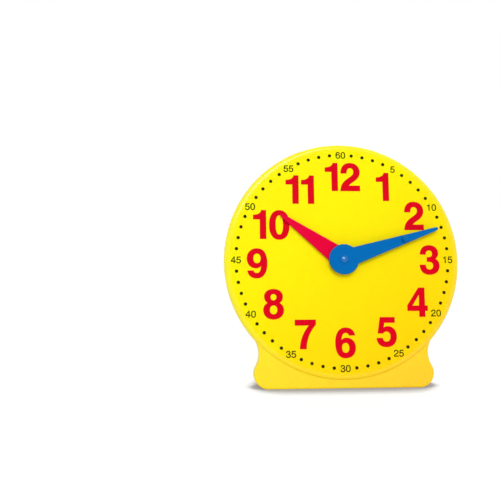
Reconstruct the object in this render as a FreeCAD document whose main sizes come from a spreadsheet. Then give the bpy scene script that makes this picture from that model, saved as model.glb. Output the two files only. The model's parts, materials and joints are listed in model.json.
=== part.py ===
"""Geared teaching clock: a leaning dial case, two geared hands and a fold-out strut.

Every piece is drawn in the face frame of the clock: x to the reader's right, y up the dial, z out of
the dial towards the reader, with the origin at the centre of the dial's face.  CLOCK_PLACE then stands
the clock on the table, leaning back, with the middle of the foot's flat underside at the origin.
"""
import FreeCAD
import Part
import Sketcher
import math
import os
import re

from FreeCAD import Placement, Rotation, Vector

# Driving dimensions, in millimetres, degrees and counts: name, value, what it measures.
DIMENSIONS = (
    # case
    ("dial_radius", 166.5, "radius of the round dial disc"),
    ("dial_edge_round", 6.5, "rolled front edge of the dial disc"),
    ("foot_step", 3.5, "how far the foot's face lies behind the dial's face"),
    ("foot_edge_round", 3.0, "rounded front edge of the foot"),
    ("foot_below_dial", 11.0, "foot's bottom edge below the lowest point of the disc"),
    ("foot_half_width", 125.7, "half the width of the foot"),
    ("foot_corner", 20.55, "radius of the foot's lower corners"),
    ("disc_overlap", 0.4, "how far the disc stands out around the case that carries the foot"),
    ("waist_round", 33.5, "hollow curve between the disc and the foot"),
    ("lean", 12.0, "angle by which the clock leans back"),
    ("wall", 2.5, "wall of the moulded case"),
    ("rim_wall", 1.2, "thin wall around the rear cover's seat"),
    ("cover_thick", 2.5, "thickness of the rear cover"),
    ("cover_clearance", 0.2, "gap around the rear cover"),
    ("cover_edge_round", 0.6, "small round on the rear cover's outer edge"),
    # fixings of the case
    ("boss_radius", 4.5, "radius of every screw boss"),
    ("boss_inset", 13.0, "distance of the dial's screw bosses from the disc's edge"),
    ("boss_fan", 60.0, "angle of the upper screw bosses above the level ones"),
    ("screw_radius", 1.5, "radius of the self-tapping screws"),
    ("pilot_depth", 12.0, "depth of the screw holes in the bosses"),
    ("head_radius", 2.9, "radius of the pan heads"),
    ("head_height", 1.7, "height of the pan heads"),
    ("head_recess", 1.2, "depth of the head's seat in the rear cover"),
    ("cross_width", 0.9, "width of a screw's cross slot"),
    ("cross_reach", 1.7, "half the length of a screw's cross slot"),
    ("cross_depth", 1.0, "depth of a screw's cross slot"),
    ("screw_bite", 9.0, "length of a screw in its boss"),
    ("screw_clearance", 0.1, "gap around a screw in a plate"),
    # gears
    ("gear_module", 1.25, "tooth module of both gear pairs"),
    ("pressure_angle", 25.0, "pressure angle of the teeth"),
    ("addendum", 1.0, "height of the stub teeth above the pitch circle"),
    ("dedendum", 1.3, "depth of the tooth spaces below the pitch circle"),
    ("backlash", 0.3, "play between meshing flanks, along the pitch circle"),
    ("minute_teeth", 15, "teeth of the minute pinion"),
    ("idler_wheel_teeth", 45, "teeth of the idler's wheel"),
    ("idler_pinion_teeth", 12, "teeth of the idler's pinion"),
    ("hour_teeth", 48, "teeth of the hour wheel"),
    ("gear_width", 4.0, "face width of the gears"),
    ("gear_hub_radius", 9.0, "radius of the hour wheel's rear hub"),
    ("idler_hub_radius", 6.0, "radius of the idler's hub and of the boss in front of it"),
    ("hub_step", 0.6, "height of the hour wheel's rear hub"),
    ("end_float", 0.3, "axial play between pieces that turn past each other"),
    ("bearing_clearance", 0.05, "radial play of a shaft in its bearing"),
    # shafts, bushes and plate
    ("arbor_radius", 4.0, "radius of the minute arbor"),
    ("arbor_nose_radius", 3.0, "radius of the arbor's nose in the minute hand"),
    ("nose_flat", 2.2, "distance of the nose's flat from the axis"),
    ("pipe_radius", 7.0, "outer radius of the hour pipe"),
    ("pipe_flat", 6.1, "distance of the pipe's flat from the axis"),
    ("dial_bush_radius", 10.0, "outer radius of the dial bush"),
    ("dial_bush_flange", 13.5, "radius of the dial bush's flange"),
    ("bush_flange_thick", 1.5, "thickness of the dial bush's flange"),
    ("bush_proud", 2.0, "how far the dial bush stands out of the dial"),
    ("plate_bush_radius", 6.0, "outer radius of the plate bush"),
    ("plate_bush_flange", 8.0, "radius of the plate bush's flange"),
    ("plate_flange_thick", 1.0, "thickness of the plate bush's flange"),
    ("plate_bush_proud", 0.6, "how far the plate bush stands out behind the plate"),
    ("gear_plate_thick", 2.0, "thickness of the gear plate"),
    ("plate_margin", 3.0, "gear plate around its screw posts"),
    ("post_reach", 41.0, "sideways distance of the plate's posts from the middle"),
    ("lower_post_drop", 20.0, "lower posts below the arbor"),
    ("upper_post_rise", 32.0, "upper posts above the idler"),
    ("idler_post_radius", 3.0, "radius of the idler's steel pin"),
    ("post_seat", 1.3, "dial left in front of the idler's pin"),
    ("washer_thick", 0.6, "thickness of the thin washers"),
    ("washer_radius", 7.5, "outer radius of the thin washers"),
    ("washer_clearance", 0.1, "gap of a thin washer around its shaft"),
    ("clip_thick", 0.8, "thickness of the arbor's clip"),
    ("clip_radius", 7.0, "outer radius of the arbor's clip"),
    ("clip_groove", 1.0, "depth of the clip's groove in the arbor"),
    ("clip_mouth", 5.6, "width of the clip's open side"),
    ("arbor_tail", 1.2, "arbor left behind the clip"),
    ("rear_clearance", 1.5, "room between the arbor's tail and the rear cover"),
    # hands
    ("hour_hub_radius", 18.0, "radius of the hour hand's hub"),
    ("hour_hand_thick", 3.0, "thickness of the hour hand"),
    ("hour_length", 108.0, "hour hand from the arbor to its tip"),
    ("hour_root_width", 29.0, "width of the hour hand's taper at the arbor"),
    ("minute_hub_radius", 21.1, "radius of the minute hand's hub"),
    ("minute_hand_thick", 3.2, "thickness of the minute hand"),
    ("minute_length", 141.8, "minute hand from the arbor to its tip"),
    ("minute_root_width", 26.5, "width of the minute hand's taper at the arbor"),
    ("hand_tip_width", 4.8, "width of both hands at the tip"),
    ("hand_bevel", 0.9, "bevel along the front edges of the hands"),
    ("hub_blend", 3.0, "hollow curve between a hand's hub and its blade"),
    ("button_radius", 7.0, "radius of the domed button on the minute hand's hub"),
    ("button_rise", 2.4, "height of that button"),
    ("nub_distance", 90.8, "thumb nub from the arbor"),
    ("nub_radius", 4.2, "radius of the thumb nub"),
    ("nub_height", 5.0, "thumb nub above the blade"),
    ("nub_round", 2.0, "rounded edge of the thumb nub"),
    ("socket_depth", 4.2, "depth of the socket for the arbor's nose"),
    ("nose_short", 0.2, "arbor's nose below the end of its socket"),
    ("minute_angle", 72.0, "clockwise angle of the minute hand from twelve"),
    ("hours_shown", 10, "full hours that the clock shows"),
    # strut
    ("hinge_drop", 40.0, "strut hinge below the middle of the dial"),
    ("hinge_stand_off", 6.0, "strut hinge behind the rear cover"),
    ("hinge_pin_radius", 2.0, "radius of the hinge pin"),
    ("barrel_radius", 4.8, "radius of the strut's hinge barrel and of the ears"),
    ("strut_opening", 25.0, "angle by which the strut opens from the case's back"),
    ("leg_width", 56.0, "width of the strut"),
    ("leg_thick", 5.0, "thickness of the strut"),
    ("leg_web", 2.2, "thickness of the strut's web between its rims"),
    ("leg_rim", 4.0, "width of the strut's rim"),
    ("leg_rib_pitch", 28.0, "distance between the strut's cross ribs"),
    ("leg_taper", 8.0, "how much narrower each side of the strut is at the hinge"),
    ("heel_gap", 0.25, "gap between the strut's heel and the cover when it stands"),
    ("ear_thick", 4.0, "thickness of the hinge ears"),
    ("ear_gap", 0.3, "gap between the ears and the strut"),
)

# Levels along the arbor, as distances in front of (+) or behind (-) the dial's face.
WALL_BACK = "(-wall)"
FOOT_FACE = "(-foot_step)"
FOOT_BACK = "(-foot_step - wall)"
FLANGE_BACK = f"({WALL_BACK} - bush_flange_thick)"
HOUR_WHEEL_FRONT = f"({FLANGE_BACK} - end_float)"
HOUR_WHEEL_BACK = f"({HOUR_WHEEL_FRONT} - gear_width)"
HOUR_HUB_BACK = f"({HOUR_WHEEL_BACK} - hub_step)"
IDLER_WHEEL_FRONT = f"({HOUR_HUB_BACK} - end_float)"
IDLER_WHEEL_BACK = f"({IDLER_WHEEL_FRONT} - gear_width)"
FRICTION_FRONT = f"({IDLER_WHEEL_BACK} - end_float)"
FRICTION_BACK = f"({FRICTION_FRONT} - washer_thick)"
PLATE_FRONT = f"({FRICTION_BACK} - plate_flange_thick)"
PLATE_BACK = f"({PLATE_FRONT} - gear_plate_thick)"
PLATE_BUSH_BACK = f"({PLATE_BACK} - plate_bush_proud)"
CLIP_FRONT = f"({PLATE_BUSH_BACK} - end_float)"
CLIP_BACK = f"({CLIP_FRONT} - clip_thick)"
ARBOR_END = f"({CLIP_BACK} - arbor_tail)"
COVER_FRONT = f"({ARBOR_END} - rear_clearance)"
COVER_BACK = f"({COVER_FRONT} - cover_thick)"
HOUR_HAND_BACK = "(bush_proud + end_float)"
HOUR_HAND_FRONT = f"({HOUR_HAND_BACK} + hour_hand_thick)"
HAND_WASHER_BACK = f"({HOUR_HAND_FRONT} + end_float)"
MINUTE_HAND_BACK = f"({HAND_WASHER_BACK} + washer_thick)"
MINUTE_HAND_FRONT = f"({MINUTE_HAND_BACK} + minute_hand_thick)"
NOSE_END = f"({MINUTE_HAND_BACK} + socket_depth - nose_short)"

# Other sizes that follow from the driving dimensions.
FOOT_DROP = "(dial_radius + foot_below_dial)"
CENTRE_DISTANCE = "(gear_module * (hour_teeth + idler_pinion_teeth) / 2)"
BOSS_RING = "(dial_radius - boss_inset)"
CORNER_X = "(foot_half_width - foot_corner)"
CORNER_Y = f"({FOOT_DROP} - foot_corner)"
LEAN_TAN = "tan(lean * 1 deg)"
UNDERSIDE_RISE = f"((-{COVER_BACK} - foot_step) * {LEAN_TAN})"
# middle of the underside, hinge of the strut, and the hinge's height above the table
UNDERSIDE_Z = f"(({COVER_BACK} - foot_step) / 2)"
UNDERSIDE_Y = f"(-{FOOT_DROP} - (foot_step + {UNDERSIDE_Z}) * {LEAN_TAN})"
HINGE_Z = f"({COVER_BACK} - hinge_stand_off)"
HINGE_HEIGHT = (f"((-hinge_drop - {UNDERSIDE_Y}) * cos(lean * 1 deg)"
                f" + ({HINGE_Z} - {UNDERSIDE_Z}) * sin(lean * 1 deg))")
# the open strut reaches from its hinge to the centre of its rounded end on the table
LEG_LENGTH = f"(({HINGE_HEIGHT} - leg_thick / 2) / cos((strut_opening - lean) * 1 deg))"
# length of the heel above the hinge: its corner meets the cover when the strut is open
HEEL_REACH = ("((hinge_stand_off - heel_gap - leg_thick / 2 * cos(strut_opening * 1 deg))"
              " / sin(strut_opening * 1 deg))")

document = FreeCAD.newDocument("teaching_clock")
sheet = document.addObject("Spreadsheet::Sheet", "dims")
for row, (alias, amount, meaning) in enumerate(DIMENSIONS, start=1):
    sheet.set(f"A{row}", meaning)
    sheet.set(f"B{row}", str(amount))
    sheet.setAlias(f"B{row}", alias)
document.recompute()

ALIASES = re.compile(r"\b(" + "|".join(alias for alias, _, _ in DIMENSIONS) + r")\b")


def size(formula):
    """The value of a formula on the sheet's dimensions."""
    return float(sheet.evalExpression(formula))


def bind(target, field, formula):
    """Tie a property or a constraint to a formula on the sheet's dimensions."""
    target.setExpression(field, ALIASES.sub(r"dims.\1", formula))


def constrain(sketch, kind, elements, formula):
    """Add a dimension to a sketch and tie it to a formula."""
    number = sketch.addConstraint(Sketcher.Constraint(kind, *elements, size(formula)))
    bind(sketch, f"Constraints[{number}]", formula)


def locate(sketch, geometry, point, x, y):
    """Hold a point of a sketch at the formulas x and y."""
    if x == "0":
        sketch.addConstraint(Sketcher.Constraint("PointOnObject", geometry, point, -2))
    else:
        constrain(sketch, "DistanceX", (geometry, point), x)
    if y == "0":
        sketch.addConstraint(Sketcher.Constraint("PointOnObject", geometry, point, -1))
    else:
        constrain(sketch, "DistanceY", (geometry, point), y)


def new_body(label):
    """An empty body, in the face frame until it is placed."""
    body = document.addObject("PartDesign::Body", label)
    body.Label = label
    return body


def sketch_on(body, plane, level="0"):
    """A sketch on one of the body's own planes, moved along the plane's normal to a level."""
    planes = {feature.Role: feature for feature in body.Origin.OriginFeatures}
    sketch = body.newObject("Sketcher::SketchObject", f"{body.Label}_sketch")
    sketch.AttachmentSupport = (planes[plane], [""])
    sketch.MapMode = "FlatFace"
    if level != "0":
        bind(sketch, ".AttachmentOffset.Base.z", level)
    return sketch


def add_circle(sketch, x, y, radius):
    """A circle with its centre and radius tied to formulas."""
    centre = Vector(size(x), size(y), 0)
    circle = sketch.addGeometry(Part.Circle(centre, Vector(0, 0, 1), size(radius)), False)
    locate(sketch, circle, 3, x, y)
    constrain(sketch, "Radius", (circle,), radius)
    return circle


def add_polygon(sketch, corners):
    """A closed chain of lines whose corners are tied to formulas."""
    points = [Vector(size(x), size(y), 0) for x, y in corners]
    lines = []
    for start, end in zip(points, points[1:] + points[:1]):
        lines.append(sketch.addGeometry(Part.LineSegment(start, end), False))
    for line, following in zip(lines, lines[1:] + lines[:1]):
        sketch.addConstraint(Sketcher.Constraint("Coincident", line, 2, following, 1))
    for line, (x, y) in zip(lines, corners):
        locate(sketch, line, 1, x, y)
    return lines


def add_rectangle(sketch, left, bottom, right, top):
    """An upright rectangle between four formulas."""
    add_polygon(sketch, ((left, bottom), (right, bottom), (right, top), (left, top)))


def extrude(body, kind, sketch, length, forward=True):
    """A pad or pocket of a sketch; forward is along the sketch plane's own normal."""
    feature = body.newObject(f"PartDesign::{kind}", f"{body.Label}_{kind.lower()}")
    feature.Profile = sketch
    bind(feature, "Length", length)
    feature.Reversed = (kind == "Pad") != forward
    document.recompute()
    return feature


def extrude_both_ways(body, kind, sketch, length):
    """A pad or pocket that reaches half its length to each side of its sketch."""
    feature = body.newObject(f"PartDesign::{kind}", f"{body.Label}_{kind.lower()}")
    feature.Profile = sketch
    bind(feature, "Length", length)
    feature.Midplane = True
    document.recompute()
    return feature


def turn(body, corners):
    """A solid of revolution about the arbor's axis, from (radius, level) corners."""
    sketch = sketch_on(body, "XZ_Plane")
    add_polygon(sketch, corners)
    return revolve(body, sketch)


def revolve(body, sketch):
    """A full turn of a sketch about the arbor's axis."""
    feature = body.newObject("PartDesign::Revolution", f"{body.Label}_turned")
    feature.Profile = sketch
    feature.ReferenceAxis = (sketch, ["V_Axis"])
    feature.Angle = 360
    document.recompute()
    return feature


def soften(body, kind, wanted, amount):
    """A fillet or chamfer on those edges of the body for which wanted(edge) is true."""
    solid = body.Tip
    edges = enumerate(solid.Shape.Edges, start=1)
    names = [f"Edge{number}" for number, edge in edges if wanted(edge)]
    if not names:
        raise RuntimeError(f"{body.Label}: no edge to soften")
    feature = body.newObject(f"PartDesign::{kind}", f"{body.Label}_{kind.lower()}")
    feature.Base = (solid, names)
    bind(feature, "Radius" if kind == "Fillet" else "Size", amount)
    document.recompute()
    return feature


def lies_at(edge, level):
    """Whether an edge lies wholly in the plane z = level."""
    box = edge.BoundBox
    near = 1e-4
    return abs(box.ZMin - level) < near and abs(box.ZMax - level) < near


def make_group(label, shape):
    """A part set from a shape worked out in code."""
    part = document.addObject("Part::Feature", label)
    part.Label = label
    part.Shape = shape
    return part


def clock_place():
    """Stands the clock on the middle of its underside, leaning back."""
    tilt = Rotation(Vector(1, 0, 0), 90 - size("lean"))
    return Placement(tilt.multVec(Vector(0, -size(UNDERSIDE_Y), -size(UNDERSIDE_Z))), tilt)


CLOCK_PLACE = clock_place()


def hour_angle():
    """Clockwise angle of the hour hand from twelve o'clock, in keeping with the minute hand's."""
    return size("(hours_shown * 360 + minute_angle) / 12")


def clockwise(degrees):
    """A turn of a hand, clockwise for the reader, away from twelve o'clock."""
    return Placement(Vector(0, 0, 0), Rotation(Vector(0, 0, 1), -degrees))


# ---------------------------------------------------------------- case


def case_outline(sketch, inset, bottom, bottom_is_tangent):
    """Dial disc, hollow waist and rounded foot, drawn inside the case's outer line by inset.

    The waist curve touches the disc and the foot's corner from outside, so its centre is where two
    circles around their centres cross.
    """
    disc = size(f"dial_radius - disc_overlap - {inset}")
    corner = size(f"foot_corner - {inset}")
    waist = size(f"waist_round + {inset}")
    corner_centre = Vector(size(CORNER_X), -size(CORNER_Y), 0)
    reach = corner_centre.Length
    along = ((disc + waist) ** 2 - (corner + waist) ** 2 + reach**2) / (2 * reach)
    aside = math.sqrt((disc + waist) ** 2 - along**2)
    axis = corner_centre / reach
    waist_centre = axis * along + Vector(-axis.y, axis.x, 0) * aside
    floor = size(bottom)
    drop = math.sqrt(max(corner**2 - (floor + corner_centre.y) ** 2, 0))
    # directions from the centres to the points where the curves meet
    to_disc = math.atan2(-waist_centre.y, -waist_centre.x)
    to_corner = math.atan2(corner_centre.y - waist_centre.y, corner_centre.x - waist_centre.x)
    upper = math.atan2(waist_centre.y, waist_centre.x)
    side = to_corner + math.pi
    lower = math.atan2(-floor - corner_centre.y, drop)
    up = Vector(0, 0, 1)

    def mirrored(angle):
        return math.pi - angle

    def left(point):
        return Vector(-point.x, point.y, 0)

    def arc(centre, radius, start, end):
        return sketch.addGeometry(Part.ArcOfCircle(Part.Circle(centre, up, radius), start, end), False)

    dial = arc(Vector(0, 0, 0), disc, upper, mirrored(upper))
    right_waist = arc(waist_centre, waist, to_disc % (2 * math.pi), to_corner % (2 * math.pi))
    right_corner = arc(corner_centre, corner, lower, (side + math.pi) % (2 * math.pi) - math.pi)
    left_waist = arc(left(waist_centre), waist, mirrored(to_corner), mirrored(to_disc))
    left_corner = arc(left(corner_centre), corner, mirrored(side), mirrored(lower))
    right_end = Vector(corner_centre.x + drop, -floor, 0)
    base = sketch.addGeometry(Part.LineSegment(left(right_end), right_end), False)

    add = sketch.addConstraint
    add(Sketcher.Constraint("Coincident", dial, 3, -1, 1))
    constrain(sketch, "Radius", (dial,), f"dial_radius - disc_overlap - {inset}")
    for waist_arc, corner_arc, upper_end, lower_end, sign in (
        (right_waist, right_corner, 1, 2, "1"),
        (left_waist, left_corner, 2, 1, "-1"),
    ):
        constrain(sketch, "Radius", (waist_arc,), f"waist_round + {inset}")
        constrain(sketch, "Radius", (corner_arc,), f"foot_corner - {inset}")
        locate(sketch, corner_arc, 3, f"{sign} * {CORNER_X}", f"-{CORNER_Y}")
        add(Sketcher.Constraint("Tangent", dial, upper_end, waist_arc, upper_end))
        add(Sketcher.Constraint("Tangent", waist_arc, lower_end, corner_arc, lower_end))
    if bottom_is_tangent:
        add(Sketcher.Constraint("Tangent", right_corner, 1, base, 2))
        add(Sketcher.Constraint("Tangent", left_corner, 2, base, 1))
    else:
        add(Sketcher.Constraint("Coincident", right_corner, 1, base, 2))
        add(Sketcher.Constraint("Coincident", left_corner, 2, base, 1))
        add(Sketcher.Constraint("Horizontal", base))
        constrain(sketch, "DistanceY", (base, 1), f"-{bottom}")


def add_disc(body):
    """The round dial, turned about the arbor's axis with its front edge rolled over."""
    sketch = sketch_on(body, "XZ_Plane")
    edge = "(dial_radius - dial_edge_round)"
    radius, rolled, back = size("dial_radius"), size("dial_edge_round"), size(COVER_BACK)
    centre = Vector(radius - rolled, -rolled, 0)
    roll = Part.ArcOfCircle(Part.Circle(centre, Vector(0, 0, 1), rolled), 0, math.pi / 2)
    corners = (Vector(radius, -rolled, 0), Vector(radius, back, 0), Vector(0, back, 0),
               Vector(0, 0, 0), Vector(radius - rolled, 0, 0))
    lines = [sketch.addGeometry(Part.LineSegment(start, end), False)
             for start, end in zip(corners, corners[1:])]
    arc = sketch.addGeometry(roll, False)
    for line, following in zip(lines, lines[1:]):
        sketch.addConstraint(Sketcher.Constraint("Coincident", line, 2, following, 1))
    sketch.addConstraint(Sketcher.Constraint("Tangent", lines[-1], 2, arc, 2))
    sketch.addConstraint(Sketcher.Constraint("Tangent", arc, 1, lines[0], 1))
    sketch.addConstraint(Sketcher.Constraint("Vertical", lines[0]))
    sketch.addConstraint(Sketcher.Constraint("Horizontal", lines[3]))
    constrain(sketch, "DistanceX", (arc, 3), edge)
    locate(sketch, lines[1], 1, "dial_radius", COVER_BACK)
    locate(sketch, lines[2], 1, "0", COVER_BACK)
    locate(sketch, lines[3], 1, "0", "0")
    revolve(body, sketch)


def boss_places():
    """Screw bosses of the rear cover: four around the dial and one in each corner of the foot."""
    places = []
    for angle in ("0", "boss_fan", "180 - boss_fan", "180"):
        places.append((f"{BOSS_RING} * cos(({angle}) * 1 deg)", f"{BOSS_RING} * sin(({angle}) * 1 deg)"))
    places.append((CORNER_X, f"-{CORNER_Y}"))
    places.append((f"-{CORNER_X}", f"-{CORNER_Y}"))
    return places


def post_places():
    """Posts of the gear plate: two below the arbor and two above the idler."""
    places = []
    for x in ("post_reach", "-post_reach"):
        places.append((x, "-lower_post_drop"))
        places.append((x, f"({CENTRE_DISTANCE} + upper_post_rise)"))
    return places


def front_case():
    """Moulded front: a dial disc proud of a spread foot, hollow behind, with bosses and posts."""
    body = new_body("front_case")
    foot = sketch_on(body, "XY_Plane", FOOT_FACE)
    case_outline(foot, "0", FOOT_DROP, True)
    extrude(body, "Pad", foot, f"-{COVER_BACK} - foot_step", forward=False)
    level = size(FOOT_FACE)
    soften(body, "Fillet", lambda edge: lies_at(edge, level), "foot_edge_round")
    add_disc(body)
    # hollow: the cover's seat, the body of the case, and the shallower room behind the dial
    for inset, start, end in (
        ("rim_wall", COVER_BACK, COVER_FRONT),
        ("wall", COVER_FRONT, FOOT_BACK),
    ):
        room = sketch_on(body, "XY_Plane", start)
        case_outline(room, inset, f"({FOOT_DROP} - {UNDERSIDE_RISE} - {inset})", False)
        extrude(body, "Pocket", room, f"{end} - {start}", forward=True)
    dial_room = sketch_on(body, "XY_Plane", FOOT_BACK)
    add_circle(dial_room, "0", "0", "dial_radius - dial_edge_round")
    extrude(body, "Pocket", dial_room, "foot_step", forward=True)
    # bosses and posts stand on the inner faces of the dial and of the foot
    places = boss_places()
    for start, end, group in (
        (WALL_BACK, COVER_FRONT, places[:4]),
        (FOOT_BACK, COVER_FRONT, places[4:]),
        (WALL_BACK, PLATE_FRONT, post_places()),
    ):
        bosses = sketch_on(body, "XY_Plane", start)
        for x, y in group:
            add_circle(bosses, x, y, "boss_radius")
        extrude(body, "Pad", bosses, f"{start} - {end}", forward=False)
        holes = sketch_on(body, "XY_Plane", end)
        for x, y in group:
            add_circle(holes, x, y, "screw_radius")
        extrude(body, "Pocket", holes, "pilot_depth", forward=True)
    idler_boss = sketch_on(body, "XY_Plane", WALL_BACK)
    add_circle(idler_boss, "0", CENTRE_DISTANCE, "idler_hub_radius")
    extrude(body, "Pad", idler_boss, "bush_flange_thick", forward=False)
    idler_seat = sketch_on(body, "XY_Plane", FLANGE_BACK)
    add_circle(idler_seat, "0", CENTRE_DISTANCE, "idler_post_radius")
    extrude(body, "Pocket", idler_seat, f"-{FLANGE_BACK} - post_seat", forward=True)
    bush_hole = sketch_on(body, "XY_Plane", WALL_BACK)
    add_circle(bush_hole, "0", "0", "dial_bush_radius + bearing_clearance")
    extrude(body, "Pocket", bush_hole, "wall", forward=True)
    # the underside is cut to lie flat on the table when the clock leans back
    wedge = sketch_on(body, "YZ_Plane")
    add_polygon(
        wedge,
        (
            (f"-{FOOT_DROP}", FOOT_FACE),
            (f"-{FOOT_DROP} - foot_corner", FOOT_FACE),
            (f"-{FOOT_DROP} - foot_corner", COVER_BACK),
            (f"-{FOOT_DROP} + {UNDERSIDE_RISE}", COVER_BACK),
        ),
    )
    extrude_both_ways(body, "Pocket", wedge, "3 * foot_half_width")
    return body


def rear_cover():
    """Back plate let into the case, with sunk screw holes and the strut's two hinge ears."""
    body = new_body("rear_cover")
    plate = sketch_on(body, "XY_Plane", COVER_FRONT)
    inset = "(rim_wall + cover_clearance)"
    case_outline(plate, inset, f"({FOOT_DROP} - {UNDERSIDE_RISE} - {inset})", False)
    extrude(body, "Pad", plate, "cover_thick", forward=False)
    level = size(COVER_BACK)
    soften(body, "Fillet", lambda edge: lies_at(edge, level), "cover_edge_round")
    for radius, depth in (("screw_radius + screw_clearance", "cover_thick"),
                          ("head_radius + screw_clearance", "head_recess")):
        holes = sketch_on(body, "XY_Plane", COVER_BACK)
        for x, y in boss_places():
            add_circle(holes, x, y, radius)
        extrude(body, "Pocket", holes, depth, forward=True)
    ear_middle = "(leg_width / 2 - leg_taper + ear_gap + ear_thick / 2)"
    for side in ("", "-"):
        ears = sketch_on(body, "YZ_Plane", f"{side}{ear_middle}")
        add_polygon(
            ears,
            (
                ("-hinge_drop - 2 * barrel_radius", COVER_BACK),
                ("-hinge_drop - barrel_radius", HINGE_Z),
                ("-hinge_drop - barrel_radius / 2", f"{HINGE_Z} - barrel_radius"),
                ("-hinge_drop + barrel_radius / 2", f"{HINGE_Z} - barrel_radius"),
                ("-hinge_drop + barrel_radius", HINGE_Z),
                ("-hinge_drop + 2 * barrel_radius", COVER_BACK),
            ),
        )
        extrude_both_ways(body, "Pad", ears, "ear_thick")
    bore = sketch_on(body, "YZ_Plane")
    add_circle(bore, "-hinge_drop", HINGE_Z, "hinge_pin_radius + bearing_clearance / 2")
    extrude_both_ways(body, "Pocket", bore, "2 * leg_width")
    return body


def pan_screw(label, head_seat, grip):
    """Self-tapping pan-head screw on the axis, its head behind head_seat, reaching forward."""
    body = new_body(label)
    tip = f"{head_seat} + {grip}"
    turn(
        body,
        (
            ("0", f"{head_seat} - head_height"),
            ("head_radius - head_height / 3", f"{head_seat} - head_height"),
            ("head_radius", f"{head_seat} - head_height / 2"),
            ("head_radius", head_seat),
            ("screw_radius", head_seat),
            ("screw_radius", f"{tip} - screw_radius"),
            ("screw_radius / 3", tip),
            ("0", tip),
        ),
    )
    slot = sketch_on(body, "XY_Plane", f"{head_seat} - head_height")
    add_cross(slot, "cross_width / 2", "cross_reach")
    extrude(body, "Pocket", slot, "cross_depth", forward=True)
    return body


def add_cross(sketch, half_width, reach):
    """The plus-shaped slot of a screw head."""
    w, r = half_width, reach
    add_polygon(
        sketch,
        (
            (w, w), (w, r), (f"-({w})", r), (f"-({w})", w), (f"-({r})", w), (f"-({r})", f"-({w})"),
            (f"-({w})", f"-({w})"), (f"-({w})", f"-({r})"), (w, f"-({r})"), (w, f"-({w})"),
            (r, f"-({w})"), (r, w),
        ),
    )


def screw_set(label, head_seat, grip, places):
    """Equal screws, one at each place, as separate solids of one part."""
    pattern = pan_screw(f"{label}_pattern", head_seat, grip)
    copies = []
    for x, y in places:
        copy = pattern.Shape.copy()
        copy.translate(Vector(size(x), size(y), 0))
        copies.append(copy)
    return make_group(label, Part.makeCompound(copies))


# ---------------------------------------------------------------- movement


def dial_bush():
    """Flanged bush, pushed through the dial from behind, in which the hour pipe turns."""
    body = new_body("dial_bush")
    bore = "pipe_radius + bearing_clearance"
    turn(
        body,
        (
            (bore, FLANGE_BACK), ("dial_bush_flange", FLANGE_BACK), ("dial_bush_flange", WALL_BACK),
            ("dial_bush_radius", WALL_BACK), ("dial_bush_radius", "bush_proud"), (bore, "bush_proud"),
        ),
    )
    return body


def gear_plate():
    """Plate behind the gears, screwed to four posts, that carries the arbor's rear bush."""
    body = new_body("gear_plate")
    plate = sketch_on(body, "XY_Plane", PLATE_FRONT)
    edge = "(boss_radius + plate_margin)"
    add_rectangle(
        plate,
        f"-post_reach - {edge}", f"-lower_post_drop - {edge}",
        f"post_reach + {edge}", f"{CENTRE_DISTANCE} + upper_post_rise + {edge}",
    )
    extrude(body, "Pad", plate, "gear_plate_thick", forward=False)
    half_thick = size("gear_plate_thick / 2")
    soften(body, "Fillet", lambda edge: edge.BoundBox.ZLength > half_thick, edge)
    holes = sketch_on(body, "XY_Plane", PLATE_FRONT)
    for x, y in post_places():
        add_circle(holes, x, y, "screw_radius + screw_clearance")
    add_circle(holes, "0", "0", "plate_bush_radius")
    add_circle(holes, "0", CENTRE_DISTANCE, "idler_post_radius")
    extrude(body, "Pocket", holes, "gear_plate_thick", forward=False)
    return body


def plate_bush():
    """Flanged bush in the gear plate, in which the arbor's rear end turns."""
    body = new_body("plate_bush")
    bore = "arbor_radius + bearing_clearance"
    turn(
        body,
        (
            (bore, PLATE_BUSH_BACK), ("plate_bush_radius", PLATE_BUSH_BACK),
            ("plate_bush_radius", PLATE_FRONT), ("plate_bush_flange", PLATE_FRONT),
            ("plate_bush_flange", FRICTION_BACK), (bore, FRICTION_BACK),
        ),
    )
    return body


def idler_post():
    """Steel pin of the idler, held in the case's boss in front and in the gear plate behind."""
    body = new_body("idler_post")
    pin = sketch_on(body, "XY_Plane", PLATE_BUSH_BACK)
    add_circle(pin, "0", CENTRE_DISTANCE, "idler_post_radius")
    extrude(body, "Pad", pin, f"-post_seat - {PLATE_BUSH_BACK}")
    return body


def ring(label, inner, outer, back, front):
    """A flat washer around the arbor's axis."""
    body = new_body(label)
    turn(body, ((inner, back), (outer, back), (outer, front), (inner, front)))
    return body


def idler_washer():
    """Thin washer on the idler's pin, against the gear plate."""
    body = new_body("idler_washer")
    washer = sketch_on(body, "XY_Plane", PLATE_FRONT)
    add_circle(washer, "0", CENTRE_DISTANCE, "washer_radius")
    add_circle(washer, "0", CENTRE_DISTANCE, "idler_post_radius + washer_clearance")
    extrude(body, "Pad", washer, "washer_thick")
    return body


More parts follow.
